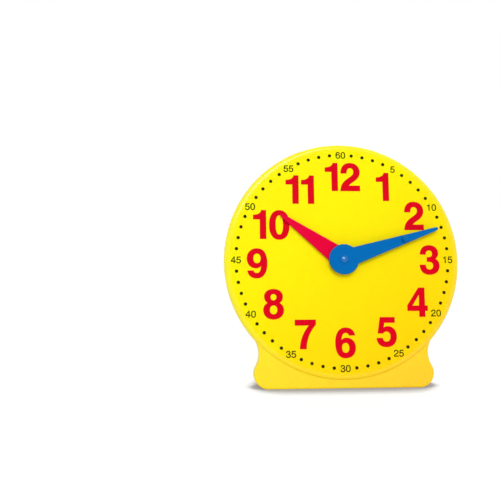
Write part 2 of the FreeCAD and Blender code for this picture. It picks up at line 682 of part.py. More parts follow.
def involute_outline(teeth, first_tooth):
    """Closed outline of a stub-toothed spur gear about the z axis.

    Each flank is the arc through three points of the involute.  first_tooth is the direction of one
    tooth's middle, in degrees from the x axis.
    """
    module = size("gear_module")
    slope = math.radians(size("pressure_angle"))
    pitch = module * teeth / 2
    base = pitch * math.cos(slope)
    tip = pitch + size("addendum")
    root = pitch - size("dedendum")
    half_pitch_tooth = (math.pi * module - size("backlash")) / (4 * pitch)
    flank_start = max(base, root)

    def half_tooth(radius):
        angle = math.acos(base / radius)
        return half_pitch_tooth + (math.tan(slope) - slope) - (math.tan(angle) - angle)

    def at(radius, angle):
        return Vector(radius * math.cos(angle), radius * math.sin(angle), 0)

    edges = []
    step = 2 * math.pi / teeth
    radii = (flank_start, (flank_start + tip) / 2, tip)
    for number in range(teeth):
        middle = math.radians(first_tooth) + number * step
        rise = [at(radius, middle - half_tooth(radius)) for radius in radii]
        fall = [at(radius, middle + half_tooth(radius)) for radius in reversed(radii)]
        foot_start = at(root, middle - half_tooth(flank_start))
        foot_end = at(root, middle + half_tooth(flank_start))
        next_foot = at(root, middle + step - half_tooth(flank_start))
        if root < base:
            edges.append(Part.LineSegment(foot_start, rise[0]).toShape())
        edges.append(Part.Arc(*rise).toShape())
        edges.append(Part.Arc(rise[2], at(tip, middle), fall[0]).toShape())
        edges.append(Part.Arc(*fall).toShape())
        if root < base:
            edges.append(Part.LineSegment(fall[2], foot_end).toShape())
        edges.append(Part.Arc(foot_end, at(root, middle + step / 2), next_foot).toShape())
    return Part.Wire(edges)


def toothed_disc(teeth, first_tooth, back, front):
    """A gear blank with its teeth cut, between two levels."""
    disc = Part.Face(involute_outline(int(size(teeth)), first_tooth))
    disc.translate(Vector(0, 0, size(back)))
    return disc.extrude(Vector(0, 0, size(front) - size(back)))


def round_bar(radius, back, front):
    """A plain cylinder on the arbor's axis, between two levels."""
    return Part.makeCylinder(size(radius), size(front) - size(back), Vector(0, 0, size(back)))


def flatted_bar(radius, flat, back, front):
    """A cylinder on the arbor's axis with one flat, at the distance flat from the axis."""
    bar = round_bar(radius, back, front)
    reach = 2 * size(radius)
    cutter = Part.makeBox(reach, 2 * reach, size(front) - size(back))
    cutter.translate(Vector(size(flat), -reach, size(back)))
    return bar.cut(cutter)


def idler_gear():
    """One moulding: a wheel that the minute pinion drives and a pinion that drives the hour wheel.

    It is drawn about the z axis; its place puts it on its pin.
    """
    beside_gap = -90 + 180 / size("idler_wheel_teeth")
    wheel = toothed_disc("idler_wheel_teeth", beside_gap, IDLER_WHEEL_BACK, IDLER_WHEEL_FRONT)
    pinion = toothed_disc("idler_pinion_teeth", -90, IDLER_WHEEL_FRONT, HOUR_WHEEL_FRONT)
    hub = round_bar("idler_hub_radius", f"{PLATE_FRONT} + washer_thick + end_float", IDLER_WHEEL_BACK)
    bore = round_bar("idler_post_radius + bearing_clearance", PLATE_BACK, FLANGE_BACK)
    return make_group("idler_gear", wheel.fuse([pinion, hub]).removeSplitter().cut(bore))


def hour_wheel():
    """Wheel with the long pipe that carries the hour hand through the dial.

    The flat on the pipe's nose faces the way that the hour hand's bore does.
    """
    first = 90 + 180 / size("hour_teeth")
    wheel = toothed_disc("hour_teeth", first, HOUR_WHEEL_BACK, HOUR_WHEEL_FRONT)
    hub = round_bar("gear_hub_radius", HOUR_HUB_BACK, HOUR_WHEEL_BACK)
    pipe = round_bar("pipe_radius", HOUR_WHEEL_FRONT, HOUR_HAND_BACK)
    nose = flatted_bar("pipe_radius", "pipe_flat", HOUR_HAND_BACK, HOUR_HAND_FRONT)
    nose.rotate(Vector(0, 0, 0), Vector(0, 0, 1), -hour_angle())
    bore = round_bar("arbor_radius + bearing_clearance", HOUR_HUB_BACK, HOUR_HAND_FRONT)
    gear = wheel.fuse([hub, pipe, nose]).removeSplitter().cut(bore)
    return make_group("hour_wheel", gear)


def minute_pinion():
    """Pinion pressed on the arbor, meshing with the idler's wheel."""
    pinion = toothed_disc("minute_teeth", 90, IDLER_WHEEL_BACK, IDLER_WHEEL_FRONT)
    bore = round_bar("arbor_radius", IDLER_WHEEL_BACK, IDLER_WHEEL_FRONT)
    return make_group("minute_pinion", pinion.cut(bore))


def minute_arbor():
    """Steel arbor with a clip groove behind and a flatted nose in front."""
    body = new_body("minute_arbor")
    groove = "arbor_radius - clip_groove"
    turn(
        body,
        (
            ("0", ARBOR_END), ("arbor_radius", ARBOR_END), ("arbor_radius", CLIP_BACK),
            (groove, CLIP_BACK), (groove, CLIP_FRONT), ("arbor_radius", CLIP_FRONT),
            ("arbor_radius", MINUTE_HAND_BACK), ("arbor_nose_radius", MINUTE_HAND_BACK),
            ("arbor_nose_radius", NOSE_END), ("0", NOSE_END),
        ),
    )
    flat = sketch_on(body, "XY_Plane", NOSE_END)
    add_rectangle(flat, "nose_flat", "-arbor_radius", "arbor_radius", "arbor_radius")
    extrude(body, "Pocket", flat, f"{NOSE_END} - {MINUTE_HAND_BACK}", forward=False)
    return body


def arbor_clip():
    """Open spring clip in the arbor's groove that keeps the arbor from sliding forward."""
    body = new_body("arbor_clip")
    clip = sketch_on(body, "XY_Plane", CLIP_BACK)
    add_circle(clip, "0", "0", "clip_radius")
    add_circle(clip, "0", "0", "arbor_radius - clip_groove")
    extrude(body, "Pad", clip, "clip_thick")
    mouth = sketch_on(body, "XY_Plane", CLIP_BACK)
    add_rectangle(mouth, "-clip_mouth / 2", "-clip_radius * 1.5", "clip_mouth / 2", "0")
    extrude(body, "Pocket", mouth, "clip_thick", forward=True)
    return body


# ---------------------------------------------------------------- hands


def add_hand_outline(sketch, hub_radius, length, root_width):
    """Round hub and straight tapering blade in one line, with hollow curves between them.

    Each side of the blade points at root_width / 2 beside the arbor and touches the round tip.
    """
    hub, tip, blend = size(hub_radius), size("hand_tip_width / 2"), size("hub_blend")
    root = Vector(size(f"{root_width} / 2"), 0, 0)
    tip_centre = Vector(0, size(f"{length} - hand_tip_width / 2"), 0)
    reach = tip_centre - root
    aside = math.asin(tip / reach.Length)
    heading = math.atan2(reach.y, reach.x) - aside
    along = Vector(math.cos(heading), math.sin(heading), 0)
    out = Vector(along.y, -along.x, 0)
    tip_touch = tip_centre + out * tip
    # centre of the hollow curve: blend away from the side and from the hub
    start = root + out * blend
    climb = -along.dot(start) + math.sqrt(
        along.dot(start) ** 2 - start.dot(start) + (hub + blend) ** 2)
    hollow = start + along * climb
    side_touch = hollow - out * blend
    up = Vector(0, 0, 1)

    def left(point):
        return Vector(-point.x, point.y, 0)

    def arc(centre, radius, start_angle, end_angle):
        circle = Part.Circle(centre, up, radius)
        return sketch.addGeometry(Part.ArcOfCircle(circle, start_angle, end_angle), False)

    def line(first, second):
        return sketch.addGeometry(Part.LineSegment(first, second), False)

    out_angle = math.atan2(out.y, out.x)
    hollow_angle = math.atan2(hollow.y, hollow.x)
    tip_arc = arc(tip_centre, tip, out_angle, math.pi - out_angle)
    right_side = line(side_touch, tip_touch)
    left_side = line(left(tip_touch), left(side_touch))
    right_hollow = arc(hollow, blend, out_angle + math.pi, hollow_angle + math.pi)
    left_hollow = arc(left(hollow), blend, -hollow_angle, -out_angle)
    hub_arc = arc(Vector(0, 0, 0), hub, math.pi - hollow_angle, 2 * math.pi + hollow_angle)
    for first, first_end, second, second_end in (
        (right_side, 2, tip_arc, 1),
        (tip_arc, 2, left_side, 1),
        (right_side, 1, right_hollow, 1),
        (left_side, 2, left_hollow, 2),
        (right_hollow, 2, hub_arc, 2),
        (left_hollow, 1, hub_arc, 1),
    ):
        sketch.addConstraint(Sketcher.Constraint("Tangent", first, first_end, second, second_end))
    for side, sign in ((right_side, ""), (left_side, "-")):
        mark = sketch.addGeometry(Part.Point(root if sign == "" else left(root)), True)
        locate(sketch, mark, 1, f"{sign}{root_width} / 2", "0")
        sketch.addConstraint(Sketcher.Constraint("PointOnObject", mark, 1, side))
    sketch.addConstraint(Sketcher.Constraint("Coincident", hub_arc, 3, -1, 1))
    constrain(sketch, "Radius", (hub_arc,), hub_radius)
    constrain(sketch, "Radius", (right_hollow,), "hub_blend")
    constrain(sketch, "Radius", (left_hollow,), "hub_blend")
    constrain(sketch, "Radius", (tip_arc,), "hand_tip_width / 2")
    locate(sketch, tip_arc, 3, "0", f"{length} - hand_tip_width / 2")


def add_flatted_circle(sketch, radius, flat):
    """The outline of a round hole with one flat."""
    r, f = size(radius), size(flat)
    half = math.acos(f / r)
    circle = Part.Circle(Vector(0, 0, 0), Vector(0, 0, 1), r)
    arc = sketch.addGeometry(Part.ArcOfCircle(circle, half, 2 * math.pi - half), False)
    rise = r * math.sin(half)
    line = sketch.addGeometry(Part.LineSegment(Vector(f, -rise, 0), Vector(f, rise, 0)), False)
    sketch.addConstraint(Sketcher.Constraint("Coincident", arc, 3, -1, 1))
    sketch.addConstraint(Sketcher.Constraint("Coincident", arc, 2, line, 1))
    sketch.addConstraint(Sketcher.Constraint("Coincident", line, 2, arc, 1))
    sketch.addConstraint(Sketcher.Constraint("Vertical", line))
    constrain(sketch, "Radius", (arc,), radius)
    constrain(sketch, "DistanceX", (line, 1), flat)


def hand(label, back, thick, hub_radius, length, root_width):
    """Bevelled hub and blade of a hand that points to twelve, before its bore is cut."""
    body = new_body(label)
    outline = sketch_on(body, "XY_Plane", back)
    add_hand_outline(outline, hub_radius, length, root_width)
    extrude(body, "Pad", outline, thick)
    front = size(f"{back} + {thick}")
    soften(body, "Chamfer", lambda edge: lies_at(edge, front), "hand_bevel")
    return body


def hour_hand():
    """Short hand, pushed on the hour pipe's flatted nose."""
    body = hand("hour_hand", HOUR_HAND_BACK, "hour_hand_thick", "hour_hub_radius", "hour_length",
                "hour_root_width")
    bore = sketch_on(body, "XY_Plane", HOUR_HAND_BACK)
    add_flatted_circle(bore, "pipe_radius", "pipe_flat")
    extrude(body, "Pocket", bore, "hour_hand_thick", forward=True)
    return body


def minute_hand():
    """Long hand with a domed button, a thumb nub, and a blind socket for the arbor's nose."""
    body = hand("minute_hand", MINUTE_HAND_BACK, "minute_hand_thick", "minute_hub_radius",
                "minute_length", "minute_root_width")
    add_dome(body, "button_radius", "button_rise", MINUTE_HAND_FRONT)
    nub = sketch_on(body, "XY_Plane", f"{MINUTE_HAND_FRONT} - minute_hand_thick / 2")
    add_circle(nub, "0", "nub_distance", "nub_radius")
    extrude(body, "Pad", nub, "nub_height + minute_hand_thick / 2")
    top = size(f"{MINUTE_HAND_FRONT} + nub_height")
    soften(body, "Fillet", lambda edge: lies_at(edge, top), "nub_round")
    socket = sketch_on(body, "XY_Plane", MINUTE_HAND_BACK)
    add_flatted_circle(socket, "arbor_nose_radius", "nose_flat")
    extrude(body, "Pocket", socket, "socket_depth", forward=True)
    return body


def add_dome(body, radius, rise, level):
    """A shallow spherical cap that stands on a level, around the arbor's axis."""
    sketch = sketch_on(body, "XZ_Plane")
    edge, height, floor = size(radius), size(rise), size(level)
    ball = (edge**2 + height**2) / (2 * height)
    centre = Vector(0, floor + height - ball, 0)
    circle = Part.Circle(centre, Vector(0, 0, 1), ball)
    low = math.asin((ball - height) / ball)
    dome = sketch.addGeometry(Part.ArcOfCircle(circle, low, math.pi / 2), False)
    axis = sketch.addGeometry(
        Part.LineSegment(Vector(0, floor + height, 0), Vector(0, floor, 0)), False)
    base = sketch.addGeometry(Part.LineSegment(Vector(0, floor, 0), Vector(edge, floor, 0)), False)
    for first, second in ((dome, axis), (axis, base), (base, dome)):
        sketch.addConstraint(Sketcher.Constraint("Coincident", first, 2, second, 1))
    sketch.addConstraint(Sketcher.Constraint("PointOnObject", dome, 3, -2))
    locate(sketch, axis, 1, "0", f"{level} + {rise}")
    locate(sketch, base, 1, "0", level)
    locate(sketch, dome, 1, radius, level)
    revolve(body, sketch)


# ---------------------------------------------------------------- strut


def stand_leg():
    """Strut with a hinge barrel, ribbed behind; drawn with its hinge at the origin, hanging down."""
    body = new_body("stand_leg")
    half = "(leg_thick / 2)"
    board = sketch_on(body, "XY_Plane", half)
    top_half = "(leg_width / 2 - leg_taper)"
    # the strut is straight between the ears and widens below them
    shoulder = "(2 * barrel_radius + ear_gap)"
    add_polygon(
        board,
        (
            (f"-{top_half}", "0"), (f"-{top_half}", f"-{shoulder}"),
            ("-leg_width / 2", f"-{LEG_LENGTH}"), ("leg_width / 2", f"-{LEG_LENGTH}"),
            (top_half, f"-{shoulder}"), (top_half, "0"),
        ),
    )
    extrude(body, "Pad", board, "leg_thick", forward=False)
    # pans between the rims and cross ribs, open to the rear
    pans = sketch_on(body, "XY_Plane", f"-{half}")
    count = int(size(f"({LEG_LENGTH} - {shoulder} - leg_rim) / leg_rib_pitch"))
    slope = f"(leg_taper / ({LEG_LENGTH} - {shoulder}))"
    for number in range(count):
        top = f"({number} * leg_rib_pitch)"
        low = f"({top} + leg_rib_pitch - leg_rim)"
        top_side = f"({top_half} + {slope} * {top} - leg_rim)"
        low_side = f"({top_half} + {slope} * {low} - leg_rim)"
        top_level = f"-({shoulder} + {top})"
        low_level = f"-({shoulder} + {low})"
        add_polygon(
            pans,
            (
                (f"-{top_side}", top_level), (f"-{low_side}", low_level),
                (low_side, low_level), (top_side, top_level),
            ),
        )
    extrude(body, "Pocket", pans, "leg_thick - leg_web", forward=True)
    toe = sketch_on(body, "YZ_Plane")
    add_circle(toe, f"-{LEG_LENGTH}", "0", half)
    extrude_both_ways(body, "Pad", toe, "leg_width")
    barrel = sketch_on(body, "YZ_Plane")
    add_circle(barrel, "0", "0", "barrel_radius")
    extrude_both_ways(body, "Pad", barrel, f"2 * {top_half}")
    heel = sketch_on(body, "YZ_Plane")
    add_rectangle(heel, "0", f"-{half}", HEEL_REACH, half)
    extrude_both_ways(body, "Pad", heel, f"2 * {top_half}")
    bore = sketch_on(body, "YZ_Plane")
    add_circle(bore, "0", "0", "hinge_pin_radius + bearing_clearance")
    extrude_both_ways(body, "Pocket", bore, "2 * leg_width")
    return body


def hinge_place():
    """Place of the open strut in the face frame."""
    at = Vector(0, -size("hinge_drop"), size(HINGE_Z))
    return Placement(at, Rotation(Vector(1, 0, 0), size("strut_opening")))


def stand_hinge_pin():
    """Steel pin through both ears and the strut's barrel."""
    body = new_body("stand_hinge_pin")
    pin = sketch_on(body, "YZ_Plane")
    add_circle(pin, "-hinge_drop", HINGE_Z, "hinge_pin_radius")
    extrude_both_ways(body, "Pad", pin, "leg_width - 2 * leg_taper + 2 * ear_gap + 2 * ear_thick")
    return body


# ---------------------------------------------------------------- assembly

hour_turn = clockwise(hour_angle())
minute_turn = clockwise(size("minute_angle"))
still = Placement()
idler_place = Placement(Vector(0, size(CENTRE_DISTANCE), 0), Rotation())

cover_screw_grip = "(cover_thick - head_recess + screw_bite)"
plate_screw_grip = "(gear_plate_thick + screw_bite)"
cover_screw_seat = f"({COVER_BACK} + head_recess)"

PARTS = (
    (front_case(), still),
    (rear_cover(), still),
    (screw_set("cover_screws", cover_screw_seat, cover_screw_grip, boss_places()), still),
    (dial_bush(), still),
    (gear_plate(), still),
    (screw_set("gear_plate_screws", PLATE_BACK, plate_screw_grip, post_places()), still),
    (plate_bush(), still),
    (idler_post(), still),
    (idler_washer(), still),
    (idler_gear(), idler_place),
    (hour_wheel(), still),
    (minute_arbor(), minute_turn),
    (minute_pinion(), still),
    (ring("friction_washer", "arbor_radius + washer_clearance", "washer_radius", FRICTION_BACK,
          FRICTION_FRONT), still),
    (arbor_clip(), still),
    (hour_hand(), hour_turn),
    (ring("hand_washer", "arbor_radius + washer_clearance", "washer_radius", HAND_WASHER_BACK,
          MINUTE_HAND_BACK), still),
    (minute_hand(), minute_turn),
    (stand_leg(), hinge_place()),
    (stand_hinge_pin(), still),
)

for part, turned in PARTS:
    part.Placement = CLOCK_PLACE.multiply(turned)
document.recompute()

for item in document.Objects:
    if "Invalid" in item.State or "Error" in item.State:
        raise RuntimeError(f"{item.Label} did not rebuild: {item.State}")
for part, _ in PARTS:
    if part.Shape.isNull() or not part.Shape.isValid():
        raise RuntimeError(f"{part.Label} has no valid shape")
os.makedirs("parts", exist_ok=True)
for part, _ in PARTS:
    part.Shape.exportStep(f"parts/{part.Label}.step")
    print(f"{part.Label:20s} solids {len(part.Shape.Solids)} volume {part.Shape.Volume:10.1f}")

hinge = CLOCK_PLACE.multVec(hinge_place().Base)
print(f"strut hinge at {hinge.y:.3f}, {hinge.z:.3f} mm, strut length {size(LEG_LENGTH):.3f} mm")
for name, point in (("arbor", Vector(0, 0, 0)), ("idler", Vector(0, size(CENTRE_DISTANCE), 0))):
    place = CLOCK_PLACE.multVec(point)
    print(f"{name} axis passes {place.x:.3f}, {place.y:.3f}, {place.z:.3f} mm")
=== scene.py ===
"""Looks of a large geared teaching clock that leans on its foot and a fold-out strut."""

import json
import math
import re

import bpy
import numpy as np
from mathutils import Matrix, Vector
from mathutils.geometry import tessellate_polygon

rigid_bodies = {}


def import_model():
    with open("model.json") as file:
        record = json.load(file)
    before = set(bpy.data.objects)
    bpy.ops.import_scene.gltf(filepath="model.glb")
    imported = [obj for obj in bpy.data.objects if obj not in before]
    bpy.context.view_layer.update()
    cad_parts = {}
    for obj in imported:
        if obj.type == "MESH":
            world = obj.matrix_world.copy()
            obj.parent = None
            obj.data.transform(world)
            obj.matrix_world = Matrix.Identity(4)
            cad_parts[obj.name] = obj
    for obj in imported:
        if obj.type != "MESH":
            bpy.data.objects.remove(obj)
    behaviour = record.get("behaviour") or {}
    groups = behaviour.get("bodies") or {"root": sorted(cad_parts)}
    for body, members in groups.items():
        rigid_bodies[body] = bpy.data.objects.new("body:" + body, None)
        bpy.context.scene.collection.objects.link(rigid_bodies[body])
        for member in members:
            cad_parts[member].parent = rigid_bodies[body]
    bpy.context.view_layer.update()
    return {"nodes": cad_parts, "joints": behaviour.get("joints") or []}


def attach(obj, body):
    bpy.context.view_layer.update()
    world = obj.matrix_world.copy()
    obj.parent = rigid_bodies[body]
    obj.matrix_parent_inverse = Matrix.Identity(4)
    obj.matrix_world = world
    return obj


for leftover in list(bpy.data.objects):
    bpy.data.objects.remove(leftover)
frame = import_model()


# --- Front case -----------------------------------------------------------------------------
# One injection moulding in glossy yellow plastic: the round dial, with a rolled rim that is
# polished, stands proud of the spread foot. The mould leaves a faint grain, and a painted shade
# makes the yellow deeper towards the foot's lower right, where the light falls off.
turn = next(joint for joint in frame["joints"] if joint["name"] == "minute_turn")
dial_middle, inward = np.array(turn["pos_m"]), np.array(turn["axis"])


class Shade:
    """A socket of a material's nodes. Sums and products of it add the Math nodes for them."""

    def __init__(self, tree, socket=None):
        self.tree, self.socket = tree, socket

    def node(self, kind, settings=None, inputs=None, output=0):
        """Adds a node of a kind: first its settings, then the values or links of its sockets.
        Gives one of its outputs, or none where output is None."""
        made = self.tree.nodes.new("ShaderNode" + kind)
        for name, value in (settings or {}).items():
            setattr(made, name, value)
        for name, value in (inputs or {}).items():
            if isinstance(value, Shade):
                self.tree.links.new(value.socket, made.inputs[name])
            else:
                made.inputs[name].default_value = value
        return None if output is None else Shade(self.tree, made.outputs[output])

    def math(self, operation, *values):
        """A Math node on this value and the others, in that order."""
        return self.node("Math", {"operation": operation}, dict(enumerate((self, *values))))

    def __add__(self, other):
        return self.math("ADD", other)

    def __sub__(self, other):
        return self.math("SUBTRACT", other)

    def __rsub__(self, other):
        return self.node("Math", {"operation": "SUBTRACT"}, {0: other, 1: self})

    def __mul__(self, other):
        return self.math("MULTIPLY", other)

    __radd__, __rmul__ = __add__, __mul__

    def ramp(self, low, high):
        """0 below low, 1 above high, and an even rise between them."""
        return self.node("MapRange", {}, {"Value": self, "From Min": low, "From Max": high})

    def noise(self, waves, detail=2.0, stretch=(1, 1, 1)):
        """Smooth noise from 0 to 1 at this point, so many waves a metre, drawn out along an
        axis whose stretch is small."""
        drawn = self.node("Mapping", {}, {"Vector": self, "Scale": stretch})
        return self.node("TexNoise", {}, {"Vector": drawn, "Scale": waves, "Detail": detail})

    def between(self, low, high):
        """The colour low where this value is 0, and the colour high where it is 1. A Mix node
        has its factor at socket 0 and its colours at 6 and 7, and gives a colour at output 2."""
        return self.node("Mix", {"data_type": "RGBA"}, {0: self, 6: (*low, 1), 7: (*high, 1)}, 2)

    def vector(self, operation, other=(0, 0, 0), output=0):
        """A Vector Math node on this value and another."""
        return self.node("VectorMath", {"operation": operation}, {0: self, 1: tuple(other)}, output)

    def off_axis(self):
        """How far this point is from the hands' axis: the length of its cross product with it."""
        across = self.vector("SUBTRACT", dial_middle).vector("CROSS_PRODUCT", inward)
        return across.vector("LENGTH", output="Value")

    def behind_dial(self):
        """How far this point is behind the dial's face: its dot product with the hands' axis."""
        return self.vector("SUBTRACT", dial_middle).vector("DOT_PRODUCT", inward, "Value")

    def axis(self, name):
        """One of the X, Y and Z of this point."""
        return self.node("SeparateXYZ", {}, {0: self}, name)

    def into(self, skin, socket):
        """Links this value to a socket of the surface's shader."""
        self.tree.links.new(self.socket, skin.inputs[socket])


def new_finish(name, **constants):
    """A material with one surface shader. Gives it, the shader, and the point in metres."""
    finish = bpy.data.materials.new(name)
    finish.use_nodes = True
    skin = finish.node_tree.nodes["Principled BSDF"]
    for socket, value in constants.items():
        skin.inputs[socket.replace("_", " ")].default_value = value
    return finish, skin, Shade(finish.node_tree).node("TexCoord", output="Object")


def relief(height, skin, depth):
    """Raises the surface by a height from 0 to 1 times a depth in metres."""
    raised = height.node("Bump", {}, {"Height": height, "Distance": depth, "Strength": 1.0})
    raised.into(skin, "Normal")


def moulded_plastic(name, colour, deep, gloss, painted_shade=None, **constants):
    """Coloured plastic from a polished mould: the pigment drifts at random between two tones,
    unless a slope of painted shade is given to mix them. The gloss varies between fresh and handled
    patches, and the skin has the fine grain of the mould. Light spreads a millimetre or two under
    the skin."""
    finish, skin, point = new_finish(name, Subsurface_Scale=0.0025, **constants)
    flow = point.noise(7.0, detail=3.0, stretch=(1.0, 1.0, 0.7))
    speck = point.noise(420.0)
    # A given slope lays painted shade between the two tones; without one, the pigment drifts at
    # random.
    tone = painted_shade(point, flow) if painted_shade else flow.ramp(0.3, 0.7) * 0.6
    tone.between(colour, deep).into(skin, "Base Color")
    handled = point.noise(38.0, detail=4.0).ramp(0.42, 0.68)
    scuffs = point.noise(260.0, detail=3.0, stretch=(0.06, 1.0, 1.0)).ramp(0.62, 0.74)
    (gloss + handled * 0.07 + scuffs * 0.05 + speck * 0.03).into(skin, "Roughness")
    grain = point.noise(900.0) * 0.5 + point.noise(60.0, detail=1.0) * 1.2 + scuffs * -0.25
    relief(grain, skin, 0.000018)
    return finish, skin, point


def towards_gate(point, flow):
    """Painted shade on the case, standing in for the light falling off towards the foot: 0 at the
    dial's upper left, where Z - 0.8 X is 0.29 m, and 1 at the foot's lower right, where it is -0.05
    m: an even slope, which the flow bends a little."""
    slope = point.axis("Z") - point.axis("X") * 0.8 + flow * 0.06
    return 1 - slope.ramp(-0.05, 0.29)


# The second, deeper yellow is painted shade, which the slope lays towards the foot's lower right.
case_yellow, yellow_skin, yellow_point = moulded_plastic(
    "case_yellow", (0.98, 0.845, 0.003), (0.98, 0.605, 0.004), 0.30, towards_gate,
    Specular_IOR_Level=0.10, Specular_Tint=(1.0, 0.9, 0.2, 1), Coat_Roughness=0.12,
    Subsurface_Weight=0.4, Subsurface_Radius=(1.0, 0.15, 0.01),
)

# The polish starts just inside the rolled rim and ends where the roll meets the side wall.
RIM_RADII, RIM_DEPTHS, RIM_POLISH = (0.1570, 0.1600), (0.0045, 0.0080), 0.7
far_out = yellow_point.off_axis().ramp(*RIM_RADII)
rolled_rim = far_out * (1 - yellow_point.behind_dial().ramp(*RIM_DEPTHS))
(rolled_rim * RIM_POLISH).into(yellow_skin, "Coat Weight")


def wear(finish, *nodes):
    """Gives the finish to the slots of these nodes of the assembly."""
    for node in nodes:
        for slot in frame["nodes"][node].material_slots:
            slot.material = finish


wear(case_yellow, "front_case")


# --- Dial printing --------------------------------------------------------------------------
# Hour numerals in red, and minute dots and labels in near-black, screen-printed on the dial
# after moulding: a film less than a tenth of a millimetre thick, a little duller than the
# plastic. The digits are a plain sans-serif, drawn here in thousandths of the type's size.
BOLD_DIGITS = {
    "0": "M278 710 C447 710 524 560 524 346 C524 132 447 -19 278 -19 C109 -19 32 132 32 346 "
         "C32 560 109 710 278 710 Z M278 595 C206 595 176 505 176 346 C176 187 206 96 278 96 "
         "C350 96 380 187 380 346 C380 505 350 595 278 595 Z",
    "1": "M378 0 L378 710 L273 710 C257 635 180 592 69 592 L69 493 L236 493 L236 0 Z",
    "2": "M26 0 L511 0 L511 125 L219 125 C240 160 290 198 350 238 C450 305 511 372 511 483 "
         "C511 620 412 710 272 710 C125 710 40 612 38 455 L176 455 C178 545 212 592 270 592 "
         "C328 592 366 552 366 487 C366 425 335 388 240 325 C105 235 40 160 26 0 Z",
    "3": "M42 490 C46 625 128 710 270 710 C402 710 492 634 492 520 C492 449 459 399 400 374 "
         "C475 349 516 288 516 204 C516 70 419 -19 268 -19 C120 -19 31 68 27 216 L164 216 "
         "C168 137 206 96 270 96 C332 96 371 138 371 204 C371 274 329 306 248 306 L215 306 "
         "L215 408 L244 408 C317 408 354 442 354 503 C354 560 321 595 267 595 "
         "C208 595 176 560 172 490 Z",
    "4": "M458 0 L458 148 L526 148 L526 264 L458 264 L458 710 L316 710 L27 276 L27 148 "
         "L322 148 L322 0 Z M322 264 L134 264 L322 552 Z",
    "5": "M475 698 L118 698 L57 316 L181 316 C200 346 229 361 268 361 C334 361 375 310 375 231 "
         "C375 150 333 98 266 98 C208 98 172 130 166 188 L27 188 C30 62 124 -19 265 -19 "
         "C417 -19 516 80 516 235 C516 376 427 474 300 474 C256 474 222 463 189 435 "
         "L212 576 L475 576 Z",
    "6": "M506 532 C492 642 405 710 287 710 C126 710 31 581 31 345 C31 105 118 -19 277 -19 "
         "C420 -19 520 80 520 226 C520 365 432 460 306 460 C245 460 203 440 169 394 "
         "C171 524 209 597 280 597 C328 597 359 573 370 532 Z M276 352 C338 352 377 303 377 222 "
         "C377 146 337 96 279 96 C217 96 178 147 178 225 C178 302 216 352 276 352 Z",
    "7": "M25 698 L528 698 L528 585 C380 425 296 230 290 0 L143 0 C152 210 232 400 377 572 "
         "L25 572 Z",
    "8": "M278 710 C410 710 500 638 500 528 C500 458 466 406 405 378 C482 345 524 284 524 200 "
         "C524 72 424 -19 278 -19 C132 -19 32 72 32 200 C32 284 74 345 151 378 "
         "C90 406 56 458 56 528 C56 638 146 710 278 710 Z M278 603 C326 603 359 571 359 520 "
         "C359 467 326 431 278 431 C230 431 197 467 197 520 C197 571 230 603 278 603 Z "
         "M278 325 C338 325 379 279 379 210 C379 138 339 91 278 91 C217 91 177 138 177 210 "
         "C177 279 218 325 278 325 Z",
}
LIGHT_DIGITS = {
    "0": "M278 703 C437 703 519 575 519 342 C519 108 437 -19 278 -19 C119 -19 37 108 37 342 "
         "C37 575 119 703 278 703 Z M278 627 C381 627 428 533 428 341 C428 149 381 57 278 57 "
         "C175 57 128 149 128 341 C128 533 175 627 278 627 Z",
    "1": "M359 0 L359 703 L301 703 C272 600 253 582 101 568 L101 504 L271 504 L271 0 Z",
    "2": "M507 86 L134 86 C143 145 175 182 262 236 L361 294 C459 349 507 408 507 496 "
         "C507 617 412 703 277 703 C132 703 50 620 46 460 L134 460 C139 572 190 626 274 626 "
         "C354 626 414 570 414 493 C414 438 382 391 321 355 L231 303 C87 218 35 150 26 0 "
         "L507 0 Z",
    "3": "M220 319 L272 319 C373 319 431 277 431 197 C431 112 370 59 271 59 "
         "C179 59 131 105 122 208 L34 208 C45 57 129 -19 268 -19 C420 -19 522 62 522 196 "
         "C522 278 475 331 387 360 C448 385 480 436 480 507 C480 628 397 703 266 703 "
         "C130 703 50 620 48 478 L136 478 C139 578 180 625 267 625 C342 625 389 581 389 504 "
         "C389 429 346 394 269 394 L220 394 Z",
    "4": "M327 170 L25 170 L25 263 L350 703 L415 703 L415 249 L523 249 L523 170 L415 170 "
         "L415 0 L327 0 Z M327 249 L103 249 L327 556 Z",
    "5": "M476 688 L110 688 L57 308 L138 308 C180 352 218 371 271 371 C361 371 422 312 422 215 "
         "C422 118 360 59 260 59 C183 59 137 93 120 162 L32 162 C55 41 137 -19 262 -19 "
         "C411 -19 514 79 514 222 C514 356 423 448 285 448 C235 448 194 434 153 404 "
         "L181 602 L476 602 Z",
    "6": "M498 524 C480 640 405 703 297 703 C130 703 38 562 38 316 C38 98 124 -19 279 -19 "
         "C421 -19 518 75 518 216 C518 348 428 446 302 446 C233 446 178 419 139 365 "
         "C140 540 196 625 291 625 C352 625 394 590 410 524 Z M289 368 C372 368 427 305 427 211 "
         "C427 122 365 59 279 59 C194 59 128 122 128 214 C128 305 193 368 289 368 Z",
}
CURVE_STEPS = 12
SIX_MIDDLE = np.array((276.0, 345.5))


def digit_outlines(drawing):
    """The closed outlines of one digit. M starts an outline, L runs straight, Z closes it, and
    C is the cubic curve (1-t)^3 a + 3 t (1-t)^2 b + 3 t^2 (1-t) c + t^3 d, at even steps of t
    from 0 to 1."""
    t = np.linspace(0, 1, CURVE_STEPS + 1)[1:, None]
    loops = []
    for letter, numbers in re.findall("([MLC])([^MLCZ]+)", drawing):
        corners = np.array(numbers.split(), float).reshape(-1, 2)
        if letter == "M":
            loops.append([corners])
        elif letter == "L":
            loops[-1].append(corners)
        else:
            a, (b, c, d) = loops[-1][-1][-1], corners
            first_half = (1 - t) ** 3 * a + 3 * t * (1 - t) ** 2 * b
            loops[-1].append(first_half + 3 * t**2 * (1 - t) * c + t**3 * d)
    loops = [np.concatenate(loop) for loop in loops]
    loops = [loop[:-1] if np.allclose(loop[0], loop[-1]) else loop for loop in loops]
    return [wound(loop, hole) for hole, loop in enumerate(loops)]


